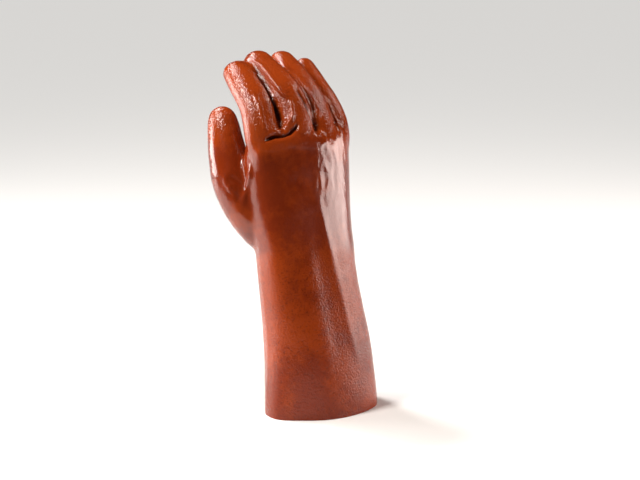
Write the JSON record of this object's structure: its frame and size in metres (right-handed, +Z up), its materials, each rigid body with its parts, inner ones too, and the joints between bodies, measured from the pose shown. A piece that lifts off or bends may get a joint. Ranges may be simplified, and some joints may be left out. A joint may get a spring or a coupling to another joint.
{
  "type": "pvc coated work glove",
  "caption": "Long PVC coated gauntlet work glove for the right hand, standing on its cut cuff with half curled fingers.",
  "frame": {"origin": "on the surface that the cuff's rim stands on, under the middle of the glove's box", "axes": "+Z up the forearm from the cuff to the fingers, -Y out of the back of the hand, +Y out of the palm, -X towards the thumb, +X towards the little finger"},
  "size_m": [0.1432, 0.1076, 0.3225],
  "materials": {
    "coated_cloth": "glossy red brown dipped PVC over knitted cotton, smooth on the hand and slightly grained on the gauntlet"
  },
  "bodies": {
    "root": {"glove_shell": "coated_cloth"}
  },
  "joints": []
}
